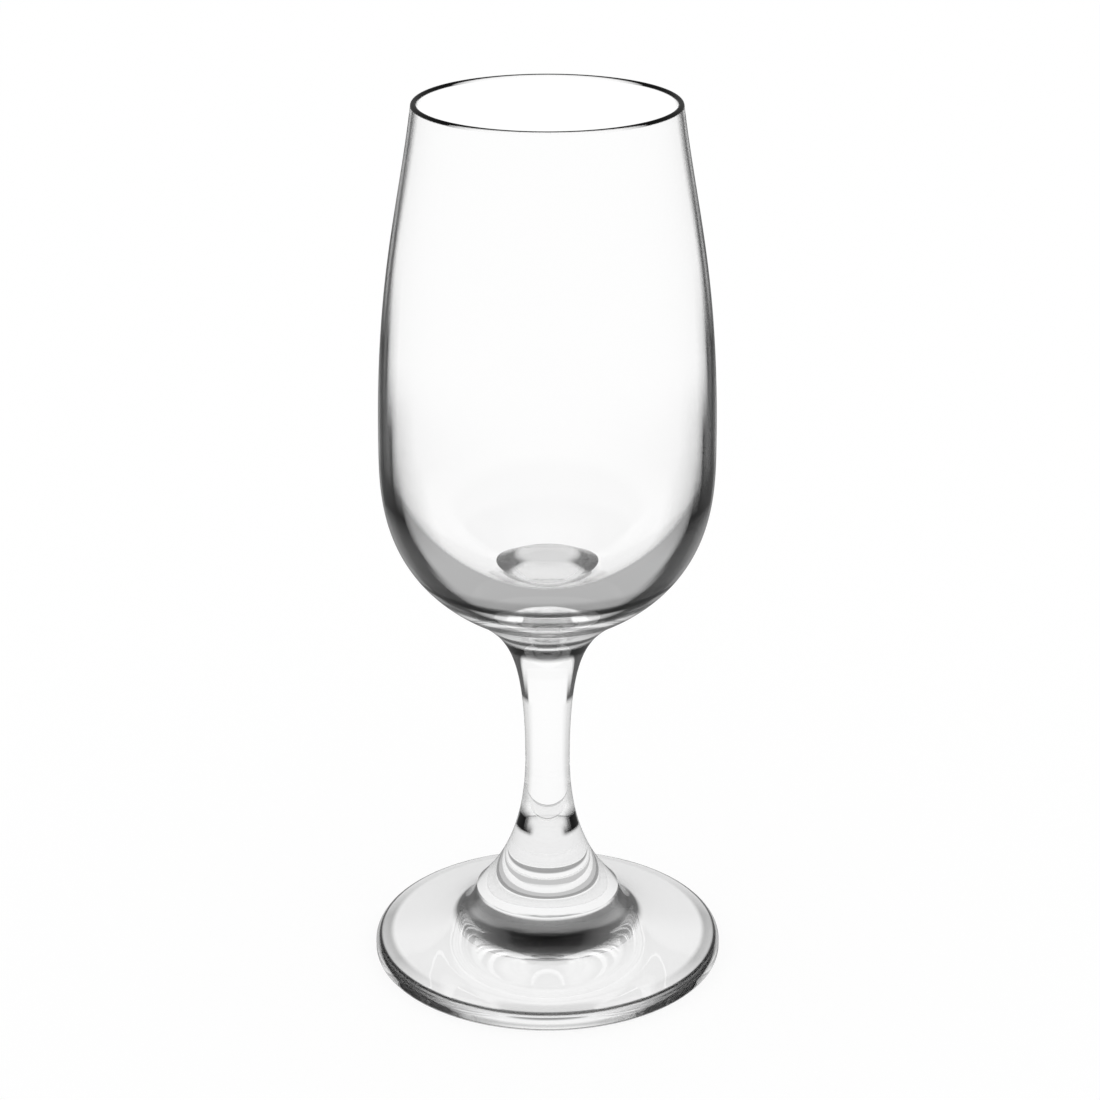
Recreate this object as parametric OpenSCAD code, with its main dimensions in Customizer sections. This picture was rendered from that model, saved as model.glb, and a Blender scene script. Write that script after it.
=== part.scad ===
// Small stemmed sherry glass in clear glass: a tulip bowl, a drawn stem and a round foot.
// The three are made hot from separate gathers and fused to each other at two flat joints.
// The glass stands on its foot at z = 0, with its axis of turning along z.
// Every outline is a list of [radius, height] points on one side of that axis.

/* [Foot] */
// Diameter across the foot
foot_d = 56.2; // [46:0.2:72]
// Thickness of the foot at its outer edge
foot_edge_t = 2.9; // [2.2:0.1:4]
// Rounding of the edge on top
foot_edge_top_r = 1.4; // [0.4:0.1:1.5]
// Rounding of the edge underneath
foot_edge_low_r = 0.6; // [0.2:0.1:0.6]
// Diameter where the thin plate turns up into the middle
foot_root_d = 32.2; // [30:0.2:38]
// Height of the plate's top face at that place
foot_root_z = 5.5; // [4.4:0.1:7]
// Height of the foot, up to the joint with the stem
foot_h = 11; // [8.5:0.1:14]
// Width of the flat ring that the foot stands on
ring_w = 4.5; // [3:0.1:8]
// Depth of the hollow at the axis
hollow_depth = 1.7; // [0.2:0.1:2.2]

/* [Stem] */
// Length of the stem between its two joints
stem_h = 44.3; // [36:0.1:60]
// Diameter at the joint with the foot
stem_foot_d = 23; // [18:0.2:26]
// Diameter at the thinnest place
stem_waist_d = 7.1; // [5.5:0.1:10]
// Height of the thinnest place above the joint with the foot
stem_waist_h = 23; // [18:0.1:28]
// Diameter at the joint with the bowl
stem_neck_d = 15.2; // [13:0.2:18]

/* [Bowl] */
// Height of the bowl from its joint to the rim
bowl_h = 84.7; // [75:0.1:110]
// Diameter of the bowl's underside where it is flattest
bowl_base_d = 26; // [22:0.2:30]
// Height of that place above the joint
bowl_base_h = 4.6; // [3.8:0.1:5.6]
// Diameter at the widest place
bowl_wide_d = 51.8; // [46:0.2:62]
// Height of the widest place above the joint
bowl_wide_h = 30.5; // [26:0.1:38]
// Diameter over the rim
rim_d = 40.2; // [34:0.2:45]
// Wall just under the rim
rim_wall = 0.8; // [0.7:0.05:1.2]
// Diameter of the rounded bead on the rim
rim_bead_d = 0.95; // [0.7:0.05:1.4]
// Wall at the widest place
side_wall = 1.1; // [0.8:0.05:1.6]
// Height of the floor's lowest ring above the joint
floor_h = 7; // [6:0.1:9]
// Diameter of the round rise in the middle of the floor
rise_d = 17.8; // [14:0.2:19]
// Height of the rise above the floor's lowest ring
rise_h = 3.7; // [1:0.1:4.5]

/* [Hidden] */
$fn = 144;
clear_glass = [0.90, 0.93, 0.93, 0.45];

// Straight pieces that stand for each curve and for each rounded edge
curve_steps = 20;
edge_steps = 6;

// Heights of the two joints and of the rim
stem_z = foot_h;
bowl_z = stem_z + stem_h;
rim_z = bowl_z + bowl_h;

// Slopes of the outline, in degrees from straight up, outwards positive
plate_slope = -79;
root_slope = -66;
shoulder_slope = -22;
flare_slope = -45;
neck_slope = 36;
base_slope = 59;
rim_slope = -7.5;
floor_slope = 62;
rise_slope = -55;

// How far each curve follows its slope at its start and its end, as shares of its chord
plate_shares = [0.35, 0.35];
shoulder_shares = [0.36, 0.42];
flare_shares = [0.30, 0.42];
neck_shares = [0.72, 0.13];
base_shares = [0.17, 0.42];
side_shares = [0.50, 0.26];
taper_shares = [0.51, 0.30];
floor_shares = [0.28, 0.42];
rise_shares = [0.40, 0.40];
hollow_shares = [0.40, 0.40];

// The way that a slope leads, and the place a given way along it
function way(slope) = [sin(slope), cos(slope)];

// One smooth curve that leaves a at slope_a and comes to b at slope_b, without its first point
function curve(a, slope_a, b, slope_b, shares) =
    let (chord = norm(b - a),
         c = a + way(slope_a) * chord * shares[0],
         d = b - way(slope_b) * chord * shares[1])
    [for (i = [1 : curve_steps])
        let (t = i / curve_steps, s = 1 - t)
        a * s * s * s + c * 3 * s * s * t + d * 3 * s * t * t + b * t * t * t];

// The point of a round edge at one angle
function on_edge(centre, r, angle) = centre + r * [cos(angle), sin(angle)];

// A round edge about a centre, from one angle to another, without its first point
function edge(centre, r, from, to) =
    [for (i = [1 : edge_steps]) on_edge(centre, r, from + (to - from) * i / edge_steps)];

// Foot: a hollow underneath, a flat ring that it stands on, a round edge, the thin plate
// and the thick middle that ends in a flat joint
foot_r = foot_d / 2;
foot_low_centre = [foot_r - foot_edge_low_r, foot_edge_low_r];
foot_top_centre = [foot_r - foot_edge_top_r, foot_edge_t - foot_edge_top_r];
foot_plate = on_edge(foot_top_centre, foot_edge_top_r, -plate_slope);
foot_root = [foot_root_d / 2, foot_root_z];
hollow_edge = [foot_low_centre[0] - ring_w, 0];
foot_outline = concat(
    [[0, hollow_depth]],
    curve([0, hollow_depth], 90, hollow_edge, 90, hollow_shares),
    [[foot_low_centre[0], 0]],
    edge(foot_low_centre, foot_edge_low_r, -90, 0),
    [[foot_r, foot_top_centre[1]]],
    edge(foot_top_centre, foot_edge_top_r, 0, -plate_slope),
    curve(foot_plate, plate_slope, foot_root, root_slope, plate_shares),
    curve(foot_root, root_slope, [stem_foot_d / 2, foot_h], shoulder_slope, shoulder_shares),
    [[0, foot_h]]);

// Stem: a trumpet that narrows from the foot to its waist and opens again under the bowl
stem_waist = [stem_waist_d / 2, stem_z + stem_waist_h];
stem_outline = concat(
    [[0, stem_z], [stem_foot_d / 2, stem_z]],
    curve([stem_foot_d / 2, stem_z], flare_slope, stem_waist, 0, flare_shares),
    curve(stem_waist, 0, [stem_neck_d / 2, bowl_z], neck_slope, neck_shares),
    [[0, bowl_z]]);

// Bowl: out from the joint, round the belly, in to the bead of the rim, down the inside and
// over the round rise of the floor
bowl_base = [bowl_base_d / 2, bowl_z + bowl_base_h];
bowl_wide = [bowl_wide_d / 2, bowl_z + bowl_wide_h];
bead_centre = [rim_d / 2 - rim_bead_d / 2, rim_z - rim_bead_d / 2];
rim_outside = bead_centre + [rim_bead_d / 2, 0];
rim_inside = [rim_outside[0] - rim_wall, bead_centre[1] - rim_bead_d / 2];
wide_inside = bowl_wide - [side_wall, 0];
floor_ring = [rise_d / 2, bowl_z + floor_h];
rise_top = [0, floor_ring[1] + rise_h];
bowl_outline = concat(
    [[0, bowl_z], [stem_neck_d / 2, bowl_z]],
    curve([stem_neck_d / 2, bowl_z], neck_slope, bowl_base, base_slope, base_shares),
    curve(bowl_base, base_slope, bowl_wide, 0, side_shares),
    curve(bowl_wide, 0, rim_outside, rim_slope, taper_shares),
    edge(bead_centre, rim_bead_d / 2, 0, 180),
    [rim_inside],
    curve(rim_inside, 180 + rim_slope, wide_inside, 180, [taper_shares[1], taper_shares[0]]),
    curve(wide_inside, 180, floor_ring, 180 + floor_slope, [floor_shares[1], floor_shares[0]]),
    curve(floor_ring, rise_slope, rise_top, -90, rise_shares));

module foot() {
    color(clear_glass)
        rotate_extrude() polygon(foot_outline);
}

module stem() {
    color(clear_glass)
        rotate_extrude() polygon(stem_outline);
}

module bowl() {
    color(clear_glass)
        rotate_extrude() polygon(bowl_outline);
}

foot();
stem();
bowl();
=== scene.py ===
import math

import bmesh
import bpy
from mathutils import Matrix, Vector


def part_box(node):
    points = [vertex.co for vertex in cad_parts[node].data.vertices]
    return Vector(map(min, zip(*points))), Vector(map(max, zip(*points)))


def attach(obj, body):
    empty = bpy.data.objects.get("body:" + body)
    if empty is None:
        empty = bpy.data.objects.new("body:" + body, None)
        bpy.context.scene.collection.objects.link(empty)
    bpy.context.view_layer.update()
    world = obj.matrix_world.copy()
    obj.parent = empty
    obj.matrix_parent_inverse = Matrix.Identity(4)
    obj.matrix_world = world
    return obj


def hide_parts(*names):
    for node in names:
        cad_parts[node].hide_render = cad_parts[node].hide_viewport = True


# Sherry glass: a blown bowl, a drawn stem and a round foot in clear glass, fused at two joints.
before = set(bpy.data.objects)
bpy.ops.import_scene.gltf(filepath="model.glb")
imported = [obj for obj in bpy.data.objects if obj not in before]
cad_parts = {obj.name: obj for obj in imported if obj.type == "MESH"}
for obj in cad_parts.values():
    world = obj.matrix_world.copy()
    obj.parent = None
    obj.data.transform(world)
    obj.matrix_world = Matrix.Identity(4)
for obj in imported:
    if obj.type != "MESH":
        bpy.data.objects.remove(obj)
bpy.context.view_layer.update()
print("frame loaded:", sorted(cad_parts))

footLow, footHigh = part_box("foot")
stemLow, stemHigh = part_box("stem")
bowlLow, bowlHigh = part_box("bowl")
mm = 0.001
white = (1, 1, 1, 1)
turnSteps = 256  # faces round each piece
flatSteps = 2  # steps along a short straight part of an outline
outwards, inwards, down = 90, -90, 180  # slopes
sameHeight = 1e-6  # how near a joint's height a face counts as part of the joint
weldDistance = 0.5e-6
upwards = 0.3  # a face of the bowl that looks up by this much is inside it
downwards = -0.5  # a face of the foot that looks down by this much is underneath
level = 0.999  # a face of a joint looks straight up or down
mainSlot, jointSlot, pontilSlot, insideSlot, riseSlot = 0, 1, 2, 2, 3  # places in a piece's materials


# outlines: [radius, height] points on one side of the axis, slopes in degrees from straight up
def way(slope):
    return Vector((math.sin(math.radians(slope)), math.cos(math.radians(slope))))


def curve(a, slopeA, b, slopeB, shares, steps):
    a, b = Vector(a), Vector(b)
    chord = (b - a).length
    c, d = a + way(slopeA) * chord * shares[0], b - way(slopeB) * chord * shares[1]
    points = []
    for i in range(1, steps + 1):
        t = i / steps
        s = 1 - t
        points.append(a * s * s * s + c * 3 * s * s * t + d * 3 * s * t * t + b * t * t * t)
    return points


# a round edge between two angles: -90 is its underside, 0 its outside, 90 its top, 180 its inside
def roundEdge(centre, radius, start, end, steps):
    angles = [math.radians(start + (end - start) * i / steps) for i in range(1, steps + 1)]
    return [Vector(centre) + radius * Vector((math.cos(a), math.sin(a))) for a in angles]


def straight(a, b, steps):
    return [Vector(a).lerp(Vector(b), i / steps) for i in range(1, steps + 1)]


# a finished piece: the outline spun round the axis, with its joint faces in their own material and
# its other faces in the one that choose picks by their middle and normal
def turned(name, node, outline, jointHeights, materials, choose=None):
    mesh = bmesh.new()
    ring = [mesh.verts.new((p.x, 0, p.y)) for p in outline]
    line = [mesh.edges.new(pair) for pair in zip(ring, ring[1:])]
    bmesh.ops.spin(mesh, geom=ring + line, cent=(0, 0, 0), axis=(0, 0, 1), dvec=(0, 0, 0),
                   angle=math.tau, steps=turnSteps, use_merge=True, use_duplicate=False)
    bmesh.ops.remove_doubles(mesh, verts=mesh.verts, dist=weldDistance)
    bmesh.ops.recalc_face_normals(mesh, faces=mesh.faces)
    for face in mesh.faces:
        face.smooth = True
        if choose:
            face.material_index = choose(face.calc_center_median(), face.normal)
        if any(abs(v.co.z - height) < sameHeight for height in jointHeights for v in face.verts) \
                and abs(face.normal.z) > level:
            face.material_index = jointSlot
    for edge in mesh.edges:
        if len({face.material_index == jointSlot for face in edge.link_faces}) > 1:
            edge.smooth = False
    data = bpy.data.meshes.new(name)
    mesh.to_mesh(data)
    mesh.free()
    piece = bpy.data.objects.new(name, data)
    bpy.context.scene.collection.objects.link(piece)
    for material in materials:
        data.materials.append(material)
    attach(piece, "root")
    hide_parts(node)
    print("made", name, len(data.polygons), "faces")


# faint unevenness of glass worked by hand: long waves and short ripples, as a height
handWorkLook = {"waveDetail": 1, "rippleDetail": 2}


def handWork():
    group = bpy.data.node_groups.new("handWork", "ShaderNodeTree")
    group.interface.new_socket("Vector", in_out="INPUT", socket_type="NodeSocketVector")
    for name in ("Wave Scale", "Ripple Scale", "Ripple Share"):
        group.interface.new_socket(name, in_out="INPUT", socket_type="NodeSocketFloat")
    group.interface.new_socket("Height", in_out="OUTPUT", socket_type="NodeSocketFloat")
    nodes, links = group.nodes, group.links
    given, result = nodes.new("NodeGroupInput"), nodes.new("NodeGroupOutput")
    waves, ripples = nodes.new("ShaderNodeTexNoise"), nodes.new("ShaderNodeTexNoise")
    waves.inputs["Detail"].default_value = handWorkLook["waveDetail"]
    ripples.inputs["Detail"].default_value = handWorkLook["rippleDetail"]
    blend = nodes.new("ShaderNodeMix")
    links.new(given.outputs["Vector"], waves.inputs["Vector"])
    links.new(given.outputs["Vector"], ripples.inputs["Vector"])
    links.new(given.outputs["Wave Scale"], waves.inputs["Scale"])
    links.new(given.outputs["Ripple Scale"], ripples.inputs["Scale"])
    links.new(given.outputs["Ripple Share"], blend.inputs["Factor"])
    links.new(waves.outputs["Fac"], blend.inputs["A"])
    links.new(ripples.outputs["Fac"], blend.inputs["B"])
    links.new(blend.outputs["Result"], result.inputs["Height"])
    return group


handWorkGroup = handWork()


# a row of grey tones along a value from 0 to 1
def toneRamp(nodes, tones):
    ramp = nodes.new("ShaderNodeValToRGB")
    stops = ramp.color_ramp.elements
    while len(stops) < len(tones):
        stops.new(1)
    for stop, (place, tone) in zip(stops, tones):
        stop.position = place
        stop.color = (tone, tone, tone, 1)
    return ramp


def mathNode(nodes, operation, value=0):
    node = nodes.new("ShaderNodeMath")
    node.operation = operation
    node.inputs[1].default_value = value
    return node


# clear glass: painted shade in its colour by how steeply light enters it and by height, painted dark rings
# by height, a painted grey glow, and the unevenness of hand work
def clearGlass(name, look, box, paintedEdgeShade, paintedRingShade=None, uneven=None):
    material = bpy.data.materials.new(name)
    material.use_nodes = True
    nodes, links = material.node_tree.nodes, material.node_tree.links
    shader = nodes["Principled BSDF"]
    shader.inputs["Roughness"].default_value = 0
    shader.inputs["IOR"].default_value = look["ior"]
    shader.inputs["Transmission Weight"].default_value = 1

    # height on the glass
    place, split = nodes.new("ShaderNodeTexCoord"), nodes.new("ShaderNodeSeparateXYZ")
    links.new(place.outputs["Object"], split.inputs[0])

    def climb(low, high, smooth):
        part = nodes.new("ShaderNodeMapRange")
        part.interpolation_type = "SMOOTHSTEP" if smooth else "LINEAR"
        part.inputs["From Min"].default_value = low
        part.inputs["From Max"].default_value = high
        links.new(split.outputs["Z"], part.inputs["Value"])
        return part.outputs[0]

    # painted shade: the colour darkened by how steeply the light enters, from one height's row of tones to
    # the next
    facing = nodes.new("ShaderNodeLayerWeight")
    tone, lastHeight = None, None
    for height, tones in paintedEdgeShade:
        ramp = toneRamp(nodes, tones)
        links.new(facing.outputs["Facing"], ramp.inputs["Fac"])
        if tone is None:
            tone = ramp.outputs["Color"]
        else:
            mix = nodes.new("ShaderNodeMix")
            mix.data_type = "RGBA"
            links.new(climb(lastHeight, height, True), mix.inputs["Factor"])
            links.new(tone, mix.inputs["A"])
            links.new(ramp.outputs["Color"], mix.inputs["B"])
            tone = mix.outputs["Result"]
        lastHeight = height

    def darken(value, shade):
        mix = nodes.new("ShaderNodeMix")
        mix.data_type = "RGBA"
        mix.blend_type = "MULTIPLY"
        mix.inputs["Factor"].default_value = 1
        links.new(value, mix.inputs["A"])
        links.new(shade, mix.inputs["B"])
        return mix.outputs["Result"]

    # painted shade: dark rings by height, multiplied into the colour
    if paintedRingShade:
        ringLow, ringHigh = paintedRingShade[0][0], paintedRingShade[-1][0]
        span = ringHigh - ringLow
        rings = toneRamp(nodes, [((height - ringLow) / span, shade) for height, shade in paintedRingShade])
        links.new(climb(ringLow, ringHigh, False), rings.inputs["Fac"])
        tone = darken(tone, rings.outputs["Color"])

    # light that leaves the glass isn't given the painted shade again
    side, entering = nodes.new("ShaderNodeNewGeometry"), nodes.new("ShaderNodeMix")
    entering.data_type = "RGBA"
    entering.inputs["B"].default_value = white
    links.new(side.outputs["Backfacing"], entering.inputs["Factor"])
    links.new(tone, entering.inputs["A"])
    links.new(entering.outputs["Result"], shader.inputs["Base Color"])

    # painted glow: where light has been mirrored round and round inside the glass, the glass glows a plain
    # grey
    path = nodes.new("ShaderNodeLightPath")
    mirrored = mathNode(nodes, "GREATER_THAN", insideLook["mirrorings"])
    links.new(path.outputs["Glossy Depth"], mirrored.inputs[0])
    links.new(mirrored.outputs[0], shader.inputs["Emission Strength"])
    if "paintedGlowTone" in look:
        shader.inputs["Emission Color"].default_value = (look["paintedGlowTone"],) * 3 + (1,)
    else:
        low, high = box[0].z, box[1].z
        greys = [((height - low) / (high - low), grey) for height, grey in look["paintedGlowTones"]]
        inside = toneRamp(nodes, greys)
        links.new(climb(low, high, False), inside.inputs["Fac"])
        links.new(inside.outputs["Color"], shader.inputs["Emission Color"])

    # unevenness, the piece's own or that of one part of it
    surface = uneven or look
    stretch = nodes.new("ShaderNodeMapping")
    stretch.inputs["Scale"].default_value = surface["stretch"]
    work = nodes.new("ShaderNodeGroup")
    work.node_tree = handWorkGroup
    work.inputs["Wave Scale"].default_value = surface["waveScale"]
    work.inputs["Ripple Scale"].default_value = surface["rippleScale"]
    work.inputs["Ripple Share"].default_value = surface["rippleShare"]
    bump = nodes.new("ShaderNodeBump")
    bump.inputs["Distance"].default_value = surface["waveHeight"]
    links.new(place.outputs["Object"], stretch.inputs["Vector"])
    links.new(stretch.outputs["Vector"], work.inputs["Vector"])
    links.new(work.outputs["Height"], bump.inputs["Height"])
    links.new(bump.outputs["Normal"], shader.inputs["Normal"])
    return material


# the two faces of a fused joint let light straight through, as glass that has run together does
def fusedJoint():
    material = bpy.data.materials.new("fusedJoint")
    material.use_nodes = True
    material.node_tree.nodes["Principled BSDF"].inputs["Alpha"].default_value = 0
    return material


joint = fusedJoint()
insideLook = {"mirrorings": 3.5}  # light mirrored more often than this inside the glass counts as trapped, and there the glass gets a painted grey glow

# foot: a hollow underneath, a standing ring, a round edge, the thin plate and the thick middle
footLook = {
    "edgeThickness": 2.9 * mm, "edgeTopRadius": 1.4 * mm, "edgeLowRadius": 0.6 * mm,
    "rootRadius": 16.1 * mm, "rootHeight": 5.5 * mm, "ringWidth": 4.5 * mm, "hollowDepth": 1.7 * mm,
    "plateSlope": -79, "rootSlope": -66, "shoulderSlope": -22,
    "plateShares": (0.35, 0.35), "shoulderShares": (0.36, 0.42), "hollowShares": (0.40, 0.40),
    "hollowSteps": 60, "ringSteps": 8, "edgeSteps": 16, "plateSteps": 50, "shoulderSteps": 40,
    # painted glow: the foot glows this grey where light is trapped inside it
    "ior": 1.52, "paintedGlowTone": 0.3,
    # painted shade by height and by how steeply the foot is seen: dark lines along its edges and a
    # near-black collar round the stem's root
    "paintedEdgeShade": [(0.15 * mm, [(0, 1), (1, 1)]),
                  (0.5 * mm, [(0, 1), (0.16, 0.9), (0.24, 0.2), (0.3, 0.01), (0.57, 0),
                              (0.64, 0.4), (0.72, 1)]),
                  (1.1 * mm, [(0, 0.8), (0.12, 0.5), (0.2, 0.3), (0.28, 0.01), (0.57, 0),
                              (0.64, 0.4), (0.72, 1)]),
                  (1.6 * mm, [(0, 1), (0.14, 0.9), (0.22, 0.3), (0.3, 0.01), (0.57, 0),
                              (0.64, 0.4), (0.72, 1)]),
                  (2.3 * mm, [(0, 0.8), (0.06, 0.7), (0.12, 0.3), (0.2, 0.02), (0.55, 0),
                              (0.62, 0.4), (0.7, 1)]),
                  (2.6 * mm, [(0, 0.8), (0.18, 0.8), (0.26, 0.1), (0.55, 0.01), (0.62, 0.4), (0.7, 1)]),
                  (2.9 * mm, [(0, 1), (0.38, 1), (0.46, 0.45), (0.56, 0.35), (0.64, 0.8), (1, 1)]),
                  (3.08 * mm, [(0, 1), (0.38, 1), (0.46, 0.35), (0.56, 0.3), (0.64, 0.8), (1, 1)]),
                  (3.25 * mm, [(0, 1), (0.85, 1), (0.93, 0.7), (1, 1)]),
                  (5.6 * mm, [(0, 1), (0.7, 1), (0.9, 0.8), (1, 1)]),
                  (6.3 * mm, [(0, 0.002), (0.08, 0.01), (0.25, 0.15), (0.45, 0.25), (0.6, 0.03),
                              (0.9, 0.02)]),
                  (8.2 * mm, [(0, 0), (0.08, 0.002), (0.25, 0.1), (0.45, 0.15), (0.6, 0.03),
                              (0.9, 0.02)]),
                  (9.4 * mm, [(0, 0.05), (0.25, 0.06), (0.45, 0.1), (0.6, 0.02), (0.9, 0.01)]),
                  (10.4 * mm, [(0, 0.1), (0.25, 0.06), (0.45, 0.1), (0.6, 0.02), (0.9, 0.01)]),
                  (10.8 * mm, [(0, 0.9), (0.35, 0.8), (0.55, 0.1), (0.85, 0.03), (0.95, 0.1), (1, 0.6)])],
    # painted shade: a dark band round the foot's edge
    "paintedRingShade": [(2.5 * mm, 1), (2.65 * mm, 0.02), (2.8 * mm, 0.02), (2.88 * mm, 1)],
    "pontilRadius": 6 * mm,
    "pontil": {"stretch": (1, 1, 1), "waveScale": 220, "rippleScale": 700, "rippleShare": 0.15,
               "waveHeight": 0.12 * mm},
    "stretch": (1, 1, 1), "waveScale": 60, "rippleScale": 300, "rippleShare": 0.15,
    "waveHeight": 0.03 * mm,
}


def footOutline():
    look = footLook
    r, top = footHigh.x, footHigh.z
    lowCentre = Vector((r - look["edgeLowRadius"], look["edgeLowRadius"]))
    topCentre = Vector((r - look["edgeTopRadius"], look["edgeThickness"] - look["edgeTopRadius"]))
    hollowEdge = (lowCentre.x - look["ringWidth"], 0)
    root = (look["rootRadius"], look["rootHeight"])
    shoulder = (stemHigh.x, top)
    topEdge = roundEdge(topCentre, look["edgeTopRadius"], 0, -look["plateSlope"], look["edgeSteps"])
    points = [Vector((0, look["hollowDepth"]))]
    points += curve(points[0], outwards, hollowEdge, outwards, look["hollowShares"], look["hollowSteps"])
    points += straight(hollowEdge, (lowCentre.x, 0), look["ringSteps"])
    points += roundEdge(lowCentre, look["edgeLowRadius"], -90, 0, look["edgeSteps"])
    points += straight(points[-1], (r, topCentre.y), flatSteps)
    points += topEdge
    points += curve(topEdge[-1], look["plateSlope"], root, look["rootSlope"],
                    look["plateShares"], look["plateSteps"])
    points += curve(root, look["rootSlope"], shoulder, look["shoulderSlope"],
                    look["shoulderShares"], look["shoulderSteps"])
    points += straight(shoulder, (0, top), flatSteps)
    return points


# stem: a trumpet that narrows from the foot to its waist and opens again under the bowl
stemLook = {
    "waistRadius": 3.55 * mm, "waistHeight": 23 * mm, "neckRadius": 7.6 * mm,
    "flareSlope": -45, "neckSlope": 36, "flareShares": (0.30, 0.42), "neckShares": (0.72, 0.13),
    "curveSteps": 100,
    # painted glow: the stem glows these greys, by height, where light is trapped inside it
    "ior": 1.52, "paintedGlowTones": [(11 * mm, 0.5), (20 * mm, 0.5), (55.3 * mm, 0.4)],
    # painted shade by height and by how steeply the stem is seen: dark lines along its waist and its upper
    # part
    "paintedEdgeShade": [(21.6 * mm, [(0, 0.95), (0.4, 0.9), (0.8, 0.8), (1, 1)]),
                  (22.4 * mm, [(0, 1), (0.1, 0.9), (0.17, 0.05), (0.25, 0), (0.75, 0), (0.9, 0.6), (1, 1)]),
                  (24.4 * mm, [(0, 1), (0.16, 0.9), (0.28, 0.05), (0.36, 0), (0.75, 0), (0.9, 0.6), (1, 1)]),
                  (26.5 * mm, [(0, 1), (0.3, 0.95), (0.5, 0.5), (0.8, 0.45), (1, 1)]),
                  (44 * mm, [(0, 1), (0.3, 1), (0.5, 0.65), (0.9, 0.5), (1, 1)]),
                  (45.4 * mm, [(0, 1), (0.4, 1), (0.46, 0.01), (0.85, 0.01), (1, 0.6)]),
                  (52 * mm, [(0, 1), (0.52, 1), (0.59, 0.01), (0.9, 0.01), (1, 0.6)])],
    # painted shade: dark rings at the top of the stem, under the bowl's joint
    "paintedRingShade": [(52.8 * mm, 1), (53.4 * mm, 0.3), (53.8 * mm, 0.05), (54.3 * mm, 0.01), (55.3 * mm, 0.01)],
    "stretch": (1, 1, 0.3), "waveScale": 120, "rippleScale": 400, "rippleShare": 0.1,
    "waveHeight": 0.02 * mm,
}


def stemOutline():
    look = stemLook
    low, high, r = stemLow.z, stemHigh.z, stemHigh.x
    waist, neck = (look["waistRadius"], low + look["waistHeight"]), (look["neckRadius"], high)
    points = [Vector((0, low))] + straight((0, low), (r, low), flatSteps)
    points += curve((r, low), look["flareSlope"], waist, 0, look["flareShares"], look["curveSteps"])
    points += curve(waist, 0, neck, look["neckSlope"], look["neckShares"], look["curveSteps"])
    points += straight(neck, (0, high), flatSteps)
    return points


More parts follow.
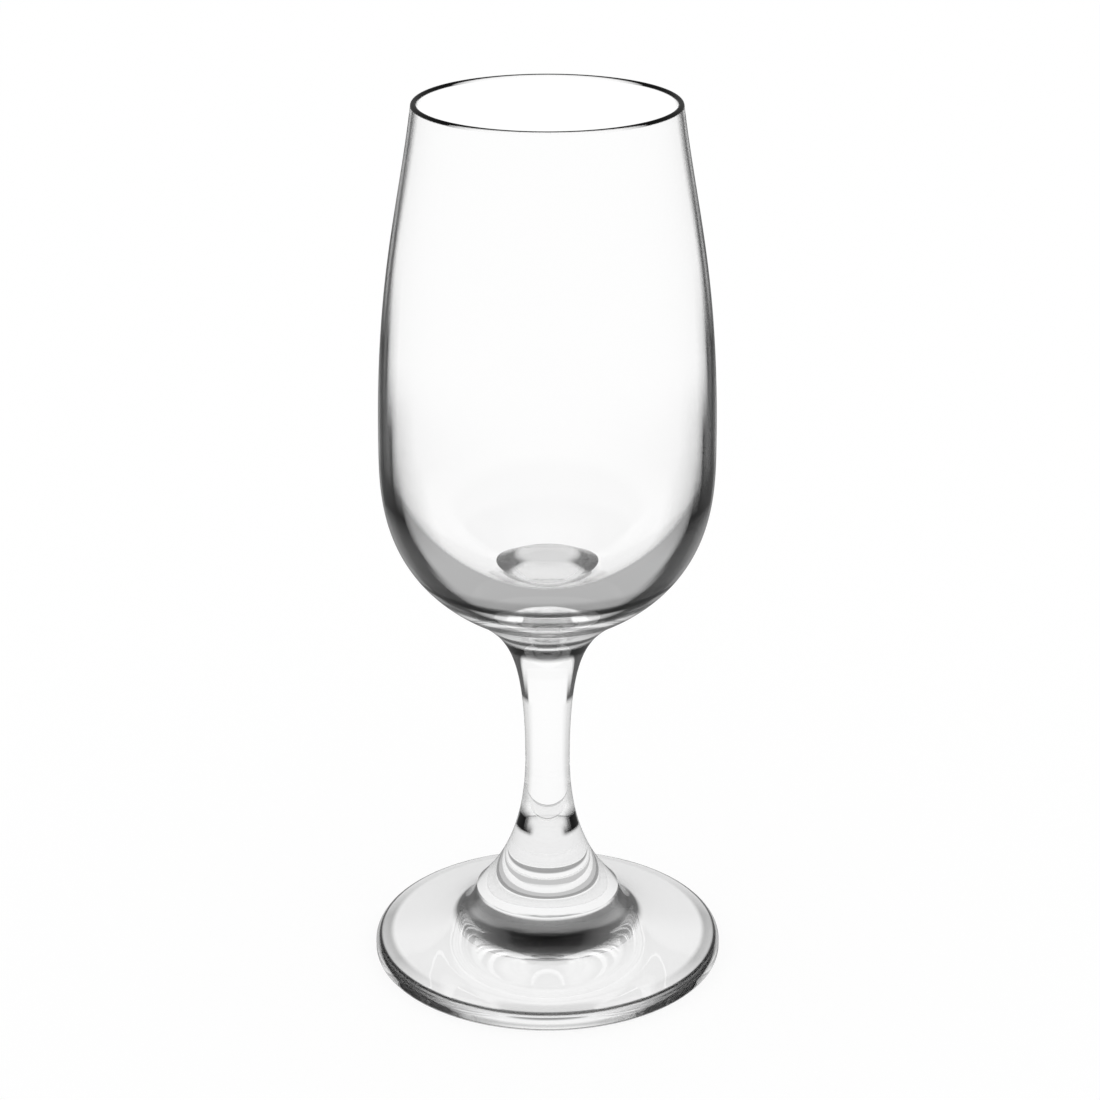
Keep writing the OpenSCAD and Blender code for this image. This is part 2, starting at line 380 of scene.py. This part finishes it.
# bowl: out from the joint, round the belly, in to the bead of the rim, down the inside and
# over the round rise of the floor
# painted shade under the rim and on its bead, by how steeply the glass is seen
underRimPaintedShade = [(0, 1), (0.64, 1), (0.73, 0.2), (0.78, 0.01), (0.81, 0.1), (0.86, 0.8)]
beadPaintedShade = [(0, 1), (0.15, 0.9), (0.3, 0), (1, 0)]
bowlLook = {
    "baseRadius": 13 * mm, "baseHeight": 4.6 * mm, "wideHeight": 30.5 * mm, "rimRadius": 20.1 * mm,
    "rimWall": 0.8 * mm, "beadWidth": 0.95 * mm, "sideWall": 1.1 * mm, "floorHeight": 7 * mm,
    "riseRadius": 8.9 * mm, "riseHeight": 3.7 * mm, "creaseWidth": 0.1 * mm,
    "baseSlope": 59, "rimSlope": -7.5, "floorSlope": 62, "riseSlope": -55,
    "baseShares": (0.17, 0.42), "sideShares": (0.50, 0.26), "taperShares": (0.51, 0.30),
    "floorShares": (0.28, 0.42), "riseShares": (0.40, 0.40),
    "baseSteps": 24, "sideSteps": 60, "beadSteps": 20, "riseSteps": 40,
    # painted glow: the bowl glows these greys, by height, where light is trapped inside it
    "ior": 1.52, "paintedGlowTones": [(55.3 * mm, 0.22), (64 * mm, 0.25), (115 * mm, 0.28), (132 * mm, 0.01)],
    # painted shade by height and by how steeply the bowl is seen: dark lines along its outline
    "paintedEdgeShade": [(63.8 * mm, [(0, 1), (1, 1)]),
                  (64.8 * mm, [(0, 1), (0.6, 1), (0.63, 0.03), (0.69, 0.02), (0.75, 0.3),
                               (0.82, 0.3), (0.9, 0.8)]),
                  (66.1 * mm, [(0, 1), (0.6, 1), (0.66, 0.01), (0.78, 0.01), (0.88, 0.7)]),
                  (66.6 * mm, [(0, 1), (0.51, 1), (0.55, 0.003), (0.78, 0.005), (0.88, 0.8)]),
                  (67.4 * mm, [(0, 1), (0.53, 1), (0.58, 0.02), (0.78, 0.02), (0.88, 0.9)]),
                  (74 * mm, [(0, 1), (0.49, 1), (0.54, 0.02), (0.68, 0.03), (0.8, 0.2), (0.86, 0.6)]),
                  (80 * mm, [(0, 1), (0.33, 1), (0.5, 0.45), (0.56, 0), (0.85, 0), (0.92, 0.6)]),
                  (92 * mm, [(0, 1), (0.4, 0.9), (0.55, 0.55), (0.63, 0.003), (0.68, 0.02),
                             (0.78, 0), (0.85, 0.01), (0.9, 0.3)]),
                  (105 * mm, [(0, 1), (0.55, 1), (0.64, 0.6), (0.7, 0), (0.74, 0.02),
                              (0.79, 0), (0.88, 0), (0.95, 0.1)]),
                  (120 * mm, [(0, 1), (0.66, 1), (0.74, 0.02), (0.78, 0.02), (0.81, 0.25),
                              (0.84, 0.25), (0.87, 0.01)]),
                  (134 * mm, underRimPaintedShade), (139.45 * mm, underRimPaintedShade), (139.6 * mm, beadPaintedShade)],
    # painted shade: dark rings round the bowl's lower end, above its joint
    "paintedRingShade": [(55.3 * mm, 0.01), (55.7 * mm, 0.06), (56.1 * mm, 0.9), (56.4 * mm, 0.9),
                  (56.8 * mm, 0.04), (57.6 * mm, 0.04), (58 * mm, 1), (60.3 * mm, 1),
                  (60.7 * mm, 0.1), (62.4 * mm, 0.12), (62.8 * mm, 1), (63.8 * mm, 1),
                  (64.1 * mm, 0.12), (65.2 * mm, 0.12), (65.5 * mm, 1), (66.5 * mm, 1),
                  (66.8 * mm, 0.01), (67.3 * mm, 0.002), (67.7 * mm, 0.05), (68.1 * mm, 0.5),
                  (69.2 * mm, 0.6), (70 * mm, 1)],
    # painted shade on the inside of the bowl and on the round rise of its floor, by how steeply they are
    # seen
    "insidePaintedEdgeShade": [(139.45 * mm, [(0, 1), (1, 1)]), (139.6 * mm, beadPaintedShade)],
    "risePaintedEdgeShade": [(64.3 * mm, [(0, 0.75), (0.2, 0.7), (0.28, 0.02), (0.68, 0), (0.76, 0.1)]),
                      (65.3 * mm, [(0, 0.5), (0.7, 0.5), (0.88, 0.4), (0.94, 0), (1, 0)])],
    "rise": {"stretch": (1, 1, 1), "waveScale": 250, "rippleScale": 700, "rippleShare": 0.25,
             "waveHeight": 0.1 * mm},
    "stretch": (1, 1, 1), "waveScale": 40, "rippleScale": 200, "rippleShare": 0.1,
    "waveHeight": 0.03 * mm,
}


def bowlOutline():
    look = bowlLook
    low, high = bowlLow.z, bowlHigh.z
    neck = (stemLook["neckRadius"], low)
    base = (look["baseRadius"], low + look["baseHeight"])
    wide = (bowlHigh.x, low + look["wideHeight"])
    bead = look["beadWidth"] / 2
    beadCentre = Vector((look["rimRadius"] - bead, high - bead))
    rimOutside = beadCentre + Vector((bead, 0))
    rimInside = (rimOutside.x - look["rimWall"], beadCentre.y - bead)
    wideInside = (wide[0] - look["sideWall"], wide[1])
    floorRing = Vector((look["riseRadius"], low + look["floorHeight"]))
    riseTop = (0, floorRing.y + look["riseHeight"])
    points = [Vector((0, low))] + straight((0, low), neck, flatSteps)
    points += curve(neck, stemLook["neckSlope"], base, look["baseSlope"],
                    look["baseShares"], look["baseSteps"])
    points += curve(base, look["baseSlope"], wide, 0, look["sideShares"], look["sideSteps"])
    points += curve(wide, 0, rimOutside, look["rimSlope"], look["taperShares"], look["sideSteps"])
    points += roundEdge(beadCentre, bead, 0, 180, look["beadSteps"])
    points += straight(points[-1], rimInside, flatSteps)
    points += curve(rimInside, down + look["rimSlope"], wideInside, down,
                    look["taperShares"][::-1], look["sideSteps"])
    points += curve(wideInside, down, floorRing, down + look["floorSlope"],
                    look["floorShares"][::-1], look["sideSteps"])
    points.insert(-1, floorRing - way(down + look["floorSlope"]) * look["creaseWidth"])
    points.append(floorRing + way(look["riseSlope"]) * look["creaseWidth"])
    points += curve(points[-1], look["riseSlope"], riseTop, inwards, look["riseShares"], look["riseSteps"])
    return points


footGlass = clearGlass("footGlass", footLook, (footLow, footHigh), footLook["paintedEdgeShade"],
                       footLook["paintedRingShade"])
footPontilGlass = clearGlass("footPontilGlass", footLook, (footLow, footHigh), footLook["paintedEdgeShade"],
                             uneven=footLook["pontil"])
stemGlass = clearGlass("stemGlass", stemLook, (stemLow, stemHigh), stemLook["paintedEdgeShade"],
                       stemLook["paintedRingShade"])
bowlGlass = clearGlass("bowlGlass", bowlLook, (bowlLow, bowlHigh), bowlLook["paintedEdgeShade"],
                       bowlLook["paintedRingShade"])
bowlInsideGlass = clearGlass("bowlInsideGlass", bowlLook, (bowlLow, bowlHigh), bowlLook["insidePaintedEdgeShade"])
bowlRiseGlass = clearGlass("bowlRiseGlass", bowlLook, (bowlLow, bowlHigh), bowlLook["risePaintedEdgeShade"],
                           uneven=bowlLook["rise"])
print("glass made")


# the material that each face of the foot and of the bowl takes, by its place in the piece's list
def footPart(middle, normal):
    if normal.z < downwards and math.hypot(middle.x, middle.y) < footLook["pontilRadius"]:
        return pontilSlot
    return mainSlot


def bowlPart(middle, normal):
    if normal.x * middle.x + normal.y * middle.y >= 0 and normal.z < upwards:
        return mainSlot
    return riseSlot if math.hypot(middle.x, middle.y) < bowlLook["riseRadius"] else insideSlot


turned("footPiece", "foot", footOutline(), [stemLow.z], [footGlass, joint, footPontilGlass], footPart)
turned("stemPiece", "stem", stemOutline(), [stemLow.z, stemHigh.z], [stemGlass, joint])
turned("bowlPiece", "bowl", bowlOutline(), [bowlLow.z],
       [bowlGlass, joint, bowlInsideGlass, bowlRiseGlass], bowlPart)

# floor, as wide as a room, white to the camera and through the glass, dim where the glass mirrors it
floorLook = {"width": 12.0, "glow": 0.87, "throughShare": 0.98, "mirroredShare": 0.05, "paint": 0.13,
             "roughness": 0.9, "gap": 0.02 * mm}


def paleFloor():
    material = bpy.data.materials.new("paleFloor")
    material.use_nodes = True
    nodes, links = material.node_tree.nodes, material.node_tree.links
    shader = nodes["Principled BSDF"]
    shader.inputs["Base Color"].default_value = (floorLook["paint"],) * 3 + (1,)
    shader.inputs["Roughness"].default_value = floorLook["roughness"]
    shader.inputs["Specular IOR Level"].default_value = 0
    shader.inputs["Emission Color"].default_value = white
    path = nodes.new("ShaderNodeLightPath")
    through = mathNode(nodes, "MULTIPLY", floorLook["throughShare"])
    mirrored = mathNode(nodes, "MULTIPLY", floorLook["mirroredShare"])
    seen, seenAnyWay = mathNode(nodes, "ADD"), mathNode(nodes, "ADD")
    glow = mathNode(nodes, "MULTIPLY", floorLook["glow"])
    links.new(path.outputs["Is Transmission Ray"], through.inputs[0])
    links.new(path.outputs["Is Glossy Ray"], mirrored.inputs[0])
    links.new(path.outputs["Is Camera Ray"], seen.inputs[0])
    links.new(mirrored.outputs[0], seen.inputs[1])
    links.new(seen.outputs[0], seenAnyWay.inputs[0])
    links.new(through.outputs[0], seenAnyWay.inputs[1])
    links.new(seenAnyWay.outputs[0], glow.inputs[0])
    links.new(glow.outputs[0], shader.inputs["Emission Strength"])
    return material


def makeFloor():
    mesh = bmesh.new()
    bmesh.ops.create_grid(mesh, x_segments=1, y_segments=1, size=floorLook["width"] / 2)
    bmesh.ops.translate(mesh, verts=mesh.verts, vec=(0, 0, -floorLook["gap"]))
    data = bpy.data.meshes.new("floor")
    mesh.to_mesh(data)
    mesh.free()
    floor = bpy.data.objects.new("floor", data)
    bpy.context.scene.collection.objects.link(floor)
    data.materials.append(paleFloor())


makeFloor()

# studio: a white wall all round, dimmer above it, and a soft light overhead (degrees up, brightness),
# dim again where the outside of the glass mirrors it
studioLook = {"bands": [(-90, 1), (25, 1), (33, 0.35), (56, 0.35), (64, 0.6)],
              "mirroredBands": [(-90, 0.17), (20, 0.17), (35, 0.1), (56, 0.1), (64, 0.6)]}


def makeWorld():
    world = bpy.data.worlds.new("studio")
    bpy.context.scene.world = world
    world.use_nodes = True
    nodes, links = world.node_tree.nodes, world.node_tree.links
    background = nodes["Background"]
    place = nodes.new("ShaderNodeTexCoord")
    split = nodes.new("ShaderNodeSeparateXYZ")
    height = nodes.new("ShaderNodeMapRange")
    height.inputs["From Min"].default_value = -1  # straight down
    links.new(place.outputs["Generated"], split.inputs[0])
    links.new(split.outputs["Z"], height.inputs["Value"])

    def bandRamp(bands):
        tones = [((1 + math.sin(math.radians(degrees))) / 2, tone) for degrees, tone in bands]
        ramp = toneRamp(nodes, tones)
        links.new(height.outputs[0], ramp.inputs["Fac"])
        return ramp.outputs["Color"]

    path = nodes.new("ShaderNodeLightPath")
    mirrored = mathNode(nodes, "SUBTRACT")
    seen, evenLight = nodes.new("ShaderNodeMix"), nodes.new("ShaderNodeMix")
    seen.data_type = evenLight.data_type = "RGBA"
    evenLight.inputs["B"].default_value = white
    links.new(path.outputs["Is Glossy Ray"], mirrored.inputs[0])
    links.new(path.outputs["Is Transmission Ray"], mirrored.inputs[1])
    links.new(mirrored.outputs[0], seen.inputs["Factor"])
    links.new(bandRamp(studioLook["bands"]), seen.inputs["A"])
    links.new(bandRamp(studioLook["mirroredBands"]), seen.inputs["B"])
    links.new(seen.outputs["Result"], evenLight.inputs["A"])
    links.new(path.outputs["Is Diffuse Ray"], evenLight.inputs["Factor"])  # only the floor is diffuse
    links.new(evenLight.outputs["Result"], background.inputs["Color"])


makeWorld()
print("floor and studio made")

# camera at the photograph's place, for a frame of 1100 by 1100
cameraLook = {"distance": 404.3 * mm, "height": 227.8 * mm, "aside": 0.4 * mm, "pitch": 21.39,
              "levelTilt": 90, "lens": 91.3, "sensor": 36, "nearest": 10 * mm}


def makeCamera():
    data = bpy.data.cameras.new("camera")
    camera = bpy.data.objects.new("camera", data)
    bpy.context.scene.collection.objects.link(camera)
    camera.location = (cameraLook["aside"], -cameraLook["distance"], cameraLook["height"])
    camera.rotation_euler = (math.radians(cameraLook["levelTilt"] - cameraLook["pitch"]), 0, 0)
    data.lens = cameraLook["lens"]
    data.sensor_width = cameraLook["sensor"]
    data.clip_start = cameraLook["nearest"]
    bpy.context.scene.camera = camera


makeCamera()
bpy.context.scene.view_settings.view_transform = "Standard"
print("camera made")
